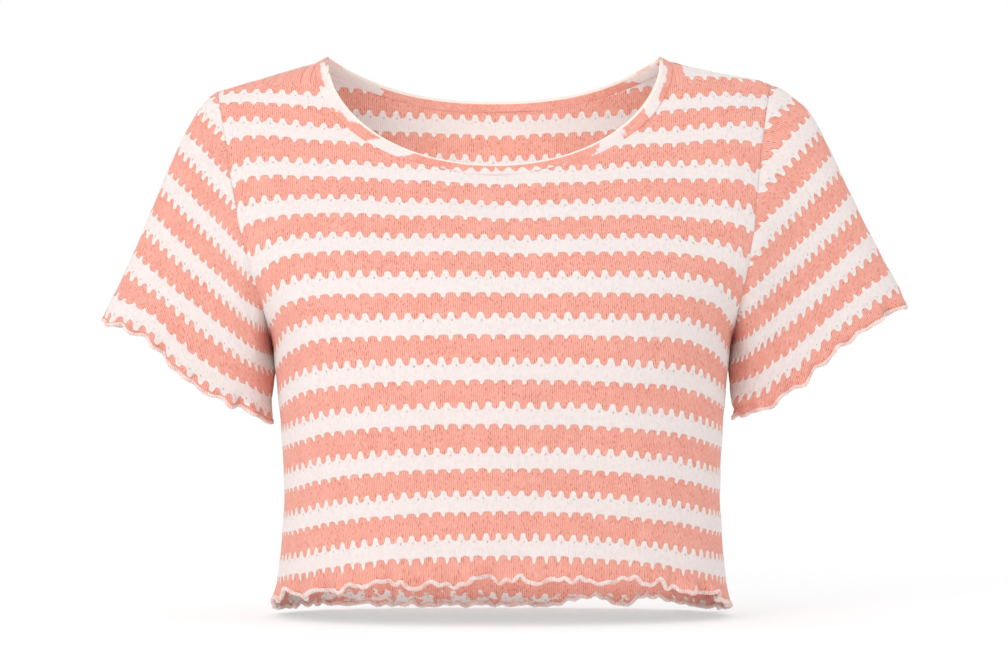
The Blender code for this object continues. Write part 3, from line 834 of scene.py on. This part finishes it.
def neckband():
    """A flattened tube: from the seam up its outer leg, over the fold and down its inner leg."""
    shares = np.linspace(0, 1, BAND_LINES)
    rows = band_rows(shares)
    around = np.roll(rows, -1, axis=1) - np.roll(rows, 1, axis=1)
    out = np.cross(np.gradient(rows, axis=0), around)
    out /= np.linalg.norm(out, axis=-1, keepdims=True)
    angle = TURN * np.arange(BAND_RING) / BAND_RING
    wide, thick = (
        np.abs(way) ** power * np.sign(way)
        for way, power in zip((np.cos(angle), np.sin(angle)), BAND_ROUNDING.values())
    )
    place = 0.51 + 0.49 * wide
    lines, normals = (
        curve_through(shares, grid.reshape(BAND_LINES, -1), place).reshape(BAND_RING, -1, 3)
        for grid in (rows, out)
    )
    grid = settled(lines + normals * (thick * BAND_HALF - BAND_SINK)[:, None, None])
    middle = rows[BAND_LINES // 2]
    loop = np.concatenate([middle, middle[:1]])
    leg = np.where(angle <= math.pi, place, -place)
    return tube("neck_band", grid, np.append(leg, -1.0), lengths_along(loop))


def tube(name, grid, round_it, along):
    """A closed ring of closed sections, with its cloth's places round the section and along."""
    faces, corners = grid_faces(*grid.shape[:2], True, closed=True)
    cloth = np.stack(np.meshgrid(round_it, along, indexing="ij")[::-1], axis=-1)
    return mesh_piece(name, grid.reshape(-1, 3), faces, cloth, corners)


# ---- rolled edges
ROLL_STEP, ROLL_RING = 0.0011, 12
ROLL_DROP = 0.55  # how far the roll's middle lies past the cut edge, in its radius
ROLL_TURN = 0.0021  # from one turn of its thread to the next
ROLL_WRAP, ROLL_UNEVEN = 0.13, 0.12


def roll(name, line, drop, radius):
    """An overlock roll along a closed line of points, wrapped with thread."""
    line, drop = (np.concatenate([loop, loop[:1]]) for loop in (line, drop))
    along = lengths_along(line)
    count = int(along[-1] / ROLL_STEP)
    places = np.arange(count) / count * along[-1]
    path, lift = (
        np.stack([np.interp(places, along, way[:, k]) for k in range(3)], axis=-1)
        for way in (line, drop)
    )
    path = path + lift * (radius * ROLL_DROP)
    ahead = np.roll(path, -1, axis=0) - np.roll(path, 1, axis=0)
    ahead /= np.linalg.norm(ahead, axis=1)[:, None]
    side = np.cross(ahead, lift)
    side /= np.linalg.norm(side, axis=1)[:, None]
    up = np.cross(side, ahead)
    grid = []
    for k in range(ROLL_RING):
        angle = TURN * k / ROLL_RING
        wrap = 1 + ROLL_WRAP * np.sin(TURN * places / ROLL_TURN + angle)
        slow = 1 + ROLL_UNEVEN * uneven(bumps(3, 40, 90), places)
        reach = (radius * wrap * slow)[:, None]
        grid.append(path + reach * (math.cos(angle) * side + math.sin(angle) * up))
    turn = np.arange(ROLL_RING + 1) / ROLL_RING * TURN * radius
    return tube(name, np.array(grid), turn, np.append(places, along[-1]))


# ---- materials
class Value:
    """A value in a node material, for use in formulas."""

    def __init__(self, nodes, socket):
        self.nodes, self.socket = nodes, socket

    def math(self, operation, second=0, third=0, first=None):
        inputs = {0: self if first is None else first, 1: second, 2: third}
        return self.nodes.node("Math", inputs, operation=operation)

    def __add__(self, other):
        return self.math("ADD", other)

    def __sub__(self, other):
        return self.math("SUBTRACT", other)

    def __rsub__(self, other):
        return self.math("SUBTRACT", self, first=other)

    def __mul__(self, other):
        return self.math("MULTIPLY", other)

    def ramp(self, low, high, to_low=0, to_high=1):
        inputs = dict(enumerate((self, low, high, to_low, to_high)))
        return self.nodes.node("MapRange", inputs, interpolation_type="SMOOTHSTEP")


class Nodes:
    """A node material, and shorthand for building it."""

    def __init__(self, name):
        self.material = bpy.data.materials.new(name)
        self.material.use_nodes = True
        self.tree = self.material.node_tree

    def put(self, socket, value):
        if isinstance(value, Value):
            self.tree.links.new(value.socket, socket)
        else:
            socket.default_value = value

    def surface(self, values):
        for name, value in values.items():
            self.put(self.tree.nodes["Principled BSDF"].inputs[name], value)

    def node(self, kind, inputs, output=0, **settings):
        """The output of a new node with these settings, and inputs by their name or number."""
        node = self.tree.nodes.new("ShaderNode" + kind)
        for name, setting in settings.items():
            setattr(node, name, setting)
        for key, value in inputs.items():
            self.put(node.inputs[key], value)
        return Value(self, node.outputs[output])

    def mix(self, base, *layers):
        """A colour with others over it, each by its share."""
        for share, colour in layers:
            inputs = {"Factor": share, "A": base, "B": colour}
            base = self.node("Mix", inputs, "Result", data_type="RGBA")
        return base

    def cloth(self):
        """The place in the cloth, along its courses and up its wales."""
        place = self.node("SeparateXYZ", {0: self.node("UVMap", {}, uv_map="Cloth")})
        return place, Value(self, place.socket.node.outputs[1])

    def join(self, x, y, z=0):
        return self.node("CombineXYZ", {0: x, 1: y, 2: z})

    def noise(self, u, v, scale, detail=2, roughness=0.5):
        inputs = {"Vector": self.join(u, v), "Scale": scale, "Detail": detail}
        return self.node("TexNoise", inputs | {"Roughness": roughness}, "Fac")

    def white(self, x, y, z=0):
        inputs = {"Vector": self.join(x, y, z)}
        return self.node("TexWhiteNoise", inputs, "Value", noise_dimensions="3D")

    def bump(self, height, strength, distance):
        inputs = {"Strength": strength, "Distance": distance, "Height": height}
        self.surface({"Normal": self.node("Bump", inputs)})


CORAL = (0.81, 0.385, 0.315, 1)
# This deeper coral is the yarn's own uneven tone, and it also paints shade in the valleys between
# the ribs.
CORAL_DEEP_AND_RIB_SHADE = (0.7, 0.225, 0.165, 1)
# This paler coral is the yarn's own uneven tone, and it also paints highlight on the tops of the
# ribs.
CORAL_PALE_AND_RIB_HIGHLIGHT = (0.9, 0.52, 0.425, 1)
# Painted shade in the gaps between stitches.
STITCH_GAP_SHADE = (0.52, 0.12, 0.08, 1)
EDGE_SHADE = (0.56, 0.34, 0.285, 1)
WHITE_YARN = (0.797, 0.733, 0.706, 1)
# This pink is the white yarn's own tint, and it also paints shade in the white's rib valleys.
WHITE_PINK_AND_RIB_SHADE = (0.812, 0.672, 0.656, 1)
WHITE_COOL = (0.716, 0.724, 0.702, 1)
CREAM = (0.85, 0.775, 0.7, 1)
# Painted shade seen in the eyelet holes and in the white's stitch gaps.
HOLE_SHADE = (0.36, 0.37, 0.34, 1)
DUSTY = (0.62, 0.34, 0.29, 1)
THREAD = (0.93, 0.76, 0.71, 1)
THREAD_DEEP = (0.88, 0.52, 0.45, 1)
# Painted highlight on the crests of the thread's wraps.
THREAD_WRAP_HIGHLIGHT = (0.94, 0.88, 0.85, 1)


def soft_finish(n, colour, roughness):
    n.surface({
        "Base Color": colour, "Roughness": roughness, "Specular IOR Level": 0.15,
        "Sheen Weight": 0.12, "Sheen Roughness": 0.5, "Sheen Tint": (1, 0.93, 0.9, 1),
    })


def stripe_shape(n, u, v):
    """Rounded fingers stand along the upper edge of each white stripe, and narrow spikes hang
    from its lower edge. Gives how far inside the white a place is, its height over the line of
    fingers, its place along it in fingers, and the numbers of finger and line."""
    row = (v * (1 / REPEAT) + ROW_SPLIT).math("FLOOR")
    level = v - row * REPEAT
    phase = u * (1 / TOOTH) + (row * TOOTH_SHIFT + n.white(row, 0.5) * 0.12)
    tooth = (phase + 0.5).math("FLOOR")
    finger = (phase * TURN).math("COSINE") - 0.1
    steep = (finger * finger + 0.3).math("SQRT")
    tall = n.white(tooth, row, 4).math("MULTIPLY_ADD", 0.001, 0.0022)
    top = finger.math("DIVIDE", steep) * tall
    spike = ((phase + SPIKE_SHIFT) * TURN).math("COSINE")
    long = n.white(tooth, row, 9).math("MULTIPLY_ADD", 0.0012, 0.002)
    low = spike.ramp(0.25, 1.05) * long - (1 - spike) * (DOME / 2)
    inside = (top - level).math("MINIMUM", (level + WHITE) + low)
    return inside, level, phase, tooth, row


def wales(n, u, v):
    """Fine upright ribs, fading in and out, with a wavering line."""
    waver = n.noise(u * 60, v * 160, 1)
    rib = (u * (TURN / WALE) + waver * 5).math("SINE")
    return rib * n.noise(u + 5.1, v, 210).ramp(0.35, 0.65, 0.25, 1)


def dashes(n, u, v):
    """Short gaps between stitches, darkened with painted shade: some cells of each column hold one.
    """
    column = u * (1 / WALE)
    index = column.math("FLOOR")
    cell = v * (1 / DASH_PITCH) + n.white(index, 3) * 7
    here = n.white(index, cell.math("FLOOR"), 2)
    x = column.math("FRACT") - 0.5
    y = cell.math("FRACT") - 0.5
    far = (x * x * 6 + y * y * 5).math("SQRT")
    return far.ramp(0.35, 0.85, 1, 0) * here.ramp(0.55, 0.95)


def knit_material():
    n = Nodes("striped_knit")
    u, v = n.cloth()
    drift = n.noise(u, v, 28)
    drift_up = n.noise(u + 3.7, v + 1.9, 45)
    shiver = n.noise(u + 7.3, v, 620)
    wavy_u = u + (drift - 0.5) * 0.003 + (shiver - 0.5) * 0.0011
    wavy_v = v + (drift_up - 0.5) * 0.002
    inside, level, phase, tooth, row = stripe_shape(n, wavy_u, wavy_v)
    at_hem = (wavy_v - HEM_STRIPE).math("ABSOLUTE").ramp(0.012, 0.015, 1, 0)
    patch = n.noise(u * 0.8, v * 1.6, 75, 5, 0.7)
    inside = inside - at_hem * patch.ramp(0.48, 0.6) * 0.014
    is_white = inside.ramp(-0.00045, 0.00045)

    rib = wales(n, u, v)
    dash = dashes(n, u, v)
    cloud = n.noise(u, v, 70, 4, 0.6)
    speck = n.noise(u + 2.3, v * 0.6, 640, 2, 0.6)
    rim = (inside + 0.0006).math("ABSOLUTE")
    coral = n.mix(
        CORAL,
        (cloud.ramp(0.3, 0.7, 0, 0.45), CORAL_DEEP_AND_RIB_SHADE),
        (speck.ramp(0.42, 0.7, 0, 0.5), CORAL_PALE_AND_RIB_HIGHLIGHT),
        # Painted shade in the valleys between the ribs.
        (rib.ramp(-1, 0.3, 0.75, 0), CORAL_DEEP_AND_RIB_SHADE),
        # Painted highlight on the tops of the ribs.
        (rib.ramp(0, 1, 0, 0.4), CORAL_PALE_AND_RIB_HIGHLIGHT),
        # Painted shade in the stitch gaps.
        (dash * 0.7, STITCH_GAP_SHADE),
        (rim.ramp(0, 0.0008, 0.35, 0), EDGE_SHADE),
    )

    tint = n.noise(u + 9.1, v, 330, 3, 0.6)
    cool = n.noise(u + 4.7, v * 0.7, 420, 3, 0.6)
    low_tips = level.ramp(-WHITE - 0.0012, -WHITE, 1, 0)
    tips = level.ramp(-0.0006, 0.0016).math("MAXIMUM", low_tips)
    x = (phase - tooth) * TOOTH - 0.0007
    y = (level + 0.0031) * 0.8
    far = (x * x + y * y).math("SQRT")
    deep = n.white(tooth, row, 7).math("MULTIPLY_ADD", 0.7, 0.3)
    eyelet = far.ramp(0.0002, 0.0009, 1, 0) * deep
    white = n.mix(
        WHITE_YARN,
        (tint.ramp(0.42, 0.62, 0, 0.85), WHITE_PINK_AND_RIB_SHADE),
        (cool.ramp(0.46, 0.64, 0, 0.75), WHITE_COOL),
        # Painted shade in the white's rib valleys.
        (rib.ramp(-1, 0.4, 0.5, 0), WHITE_PINK_AND_RIB_SHADE),
        # Painted shade in the white's stitch gaps.
        (dash * 0.12, HOLE_SHADE),
        (tips * 0.8, CREAM),
        # Painted shade in the eyelet holes below each tooth.
        (eyelet * 0.8, HOLE_SHADE),
    )

    soft_finish(n, n.mix(coral, (is_white, white)), speck.ramp(0.3, 0.8, 0.97, 0.85))
    surface = rib * 0.35 + is_white * 0.8 - eyelet * is_white * 1.4
    n.bump(surface + speck * 0.8 - dash * 0.4, 0.6, 0.0004)
    return n.material


def any_of(value, stretches, blur=0.0012):
    """1 in any of these stretches along the band, and 0 beyond them."""
    inside = None
    for low, high in stretches:
        rises = value.ramp(low - blur, low + blur)
        here = rises * value.ramp(high - blur, high + blur, 1, 0)
        inside = inside.math("MAXIMUM", here) if inside else here
    return inside


def band_material():
    """The folded band is cut from the striped cloth, so it is coral and white by turns."""
    n = Nodes("neckband_knit")
    along, leg = n.cloth()
    place = along, leg * 0.009
    wobble = (n.noise(*place, 190, 3) - 0.5) * 0.016
    at = along + wobble + (leg.math("ABSOLUTE") - 0.5) * 0.009
    beside_fold = wobble.math("MULTIPLY_ADD", 30, leg).ramp(0.5, 0.62, 1, 0)
    shoulder_white = any_of(at, BAND_WHITE["shoulder"]) * beside_fold
    outer_white = any_of(at, BAND_WHITE["outer"]).math("MAXIMUM", shoulder_white)
    inner_white = any_of(at, BAND_WHITE["inner"])
    is_outer = leg.math("GREATER_THAN")
    near = along.math("MINIMUM", BAND_LOOP - along) * (1 / BAND_TEETH["reach"])
    line = (near * near).math("MULTIPLY_ADD", 1 - BAND_TEETH["line"], BAND_TEETH["line"])
    tooth = (along * (TURN / TOOTH)).math("COSINE")
    inside = (leg - line).math("MULTIPLY_ADD", BAND_WIDTH, tooth * BAND_TEETH["tall"])
    outer_white = outer_white.math("MAXIMUM", inside.ramp(-0.0004, 0.0004))
    body_white = is_outer * outer_white + (1 - is_outer) * inner_white
    fold = leg.math("ABSOLUTE").ramp(0.15, 0.24, 1, 0)
    cloud = n.noise(*place, 90, 4, 0.6)
    speck = n.noise(*place, 640, 2, 0.6)
    rib = ((along + leg * 0.003) * (TURN / WALE)).math("SINE")
    coral = n.mix(
        CORAL,
        (cloud.ramp(0.3, 0.7, 0, 0.6), CORAL_DEEP_AND_RIB_SHADE),
        # Painted shade in the band's rib valleys.
        (rib.ramp(-1, 1, 0.3, 0), CORAL_DEEP_AND_RIB_SHADE),
        (speck.ramp(0.45, 0.7, 0, 0.5), CORAL_PALE_AND_RIB_HIGHLIGHT),
    )
    white = n.mix(
        WHITE_YARN,
        (cloud.ramp(0.35, 0.65, 0, 0.8), WHITE_PINK_AND_RIB_SHADE),
        (speck.ramp(0.5, 0.72, 0, 0.6), WHITE_COOL),
    )
    dusty = any_of(at, BAND_FOLD_DUSTY) * cloud.ramp(0.4, 0.55, 0.2, 1)
    edge = n.mix(CREAM, (any_of(at, BAND_FOLD_CORAL) * 0.7, CORAL_PALE_AND_RIB_HIGHLIGHT), (dusty, DUSTY))
    soft_finish(n, n.mix(coral, (body_white, white), (fold, edge)), 0.9)
    n.bump(rib * 0.4 + speck * 0.8, 0.5, 0.0003)
    return n.material


def edge_material():
    n = Nodes("rolled_edge_thread")
    along, turn = n.cloth()
    cloud = n.noise(along, turn, 130, 3, 0.6)
    speck = n.noise(along, turn, 700, 2, 0.6)
    wrap = ((along + turn * 0.28) * (TURN / 0.0013)).math("SINE")
    colour = n.mix(
        THREAD,
        (cloud.ramp(0.42, 0.62), THREAD_DEEP),
        # Painted highlight on the crests of the thread's wraps.
        (wrap.ramp(-1, 1, 0, 0.45), THREAD_WRAP_HIGHLIGHT),
        (speck.ramp(0.48, 0.7, 0, 0.4), CORAL_DEEP_AND_RIB_SHADE),
    )
    soft_finish(n, colour, 0.85)
    n.bump(wrap + speck, 0.6, 0.0003)
    return n.material


# ---- assembly
knit, band_knit, edge_thread = knit_material(), band_material(), edge_material()

front, front_hem = panel("knit_front", FRONT)
back, back_hem = panel("knit_back", BACK)
sleeves = {side: sleeve(side) for side in CUFFS}
band = neckband()

hem_loop = np.concatenate([front_hem[1:-1], back_hem[::-1][1:-1]])
down_way = np.tile((0, 0, -1), (len(hem_loop), 1))
hem = roll("hem_edge", hem_loop, down_way, ROLL_RADIUS["hem"])
cuffs = {
    side: roll("cuff_edge_" + side, cuff_line, axis, ROLL_RADIUS["cuff"])
    for side, (_, cuff_line, axis) in sleeves.items()
}


def declare(piece, node, material):
    piece.data.materials.append(material)
    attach(piece, "root")
    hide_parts(node)


declare(front, "front", knit)
declare(back, "back", knit)
for side in CUFFS:
    declare(sleeves[side][0], "sleeve_" + side, knit)
    declare(cuffs[side], "cuff_roll_" + side, edge_thread)
declare(band, "neckband", band_knit)
declare(hem, "hem_roll", edge_thread)

# ---- floor, light and camera
FLOOR = -0.3892  # just under the hem's lowest point
FLOOR_HALF = 9
floor_mesh = bpy.data.meshes.new("floor")
corners = [(x * FLOOR_HALF, y * FLOOR_HALF, FLOOR) for x, y in ((-1, -1), (1, -1), (1, 1), (-1, 1))]
floor_mesh.from_pydata(corners, [], [(0, 1, 2, 3)])
floor = add_object("floor", floor_mesh)
pale = Nodes("pale_floor")
pale.surface({
    "Base Color": (0.73, 0.575, 0.555, 1), "Roughness": 1, "Specular IOR Level": 0,
    "Emission Color": (0.6, 0.95, 1, 1), "Emission Strength": 0.45,
})
floor_mesh.materials.append(pale.material)

scene = bpy.context.scene
scene.world = bpy.data.worlds.new("studio")
scene.world.use_nodes = True
background = scene.world.node_tree.nodes["Background"].inputs
background["Color"].default_value = (1, 1, 1, 1)
background["Strength"].default_value = 1


def area_light(name, place, aim, size, power, seen=True, high=None, spread=180, color=(1, 1, 1)):
    data = bpy.data.lights.new(name, "AREA")
    data.shape = "RECTANGLE" if high else "DISK"
    data.size = size
    data.size_y = high or size
    data.spread = math.radians(spread)
    data.energy = power
    data.color = color
    light = add_object(name, data)
    light.location = place
    way = Vector(aim) - Vector(place)
    light.rotation_euler = way.to_track_quat("-Z", "Y").to_euler()
    light.visible_camera = seen


area_light("key", (-1.35, -2.3, 0.9), (0, 0, -0.2), 1.4, 20.0)
# Two small ones fill the hollow, so that the inside of the back is as light as the outside.
area_light(
    "inside_neck", (0, -0.02, -0.17), (0, 0.08, -0.045), 0.1, 0.15, seen=False, color=(0.86, 1, 1)
)
area_light(
    "inside_hem", (0, -0.03, -0.372), (0, 0.09, -0.35), 0.25, 0.03, seen=False, high=0.012, spread=52
)

scene.view_settings.view_transform = "Standard"

camera_data = bpy.data.cameras.new("camera")
camera_data.sensor_width = 36.0
camera_data.lens = 153.06
camera = add_object("camera", camera_data)
camera.location = (0.0016, -3.0, -0.1932)
camera.rotation_euler = (math.pi / 2, 0.0, 0.0)
scene.camera = camera
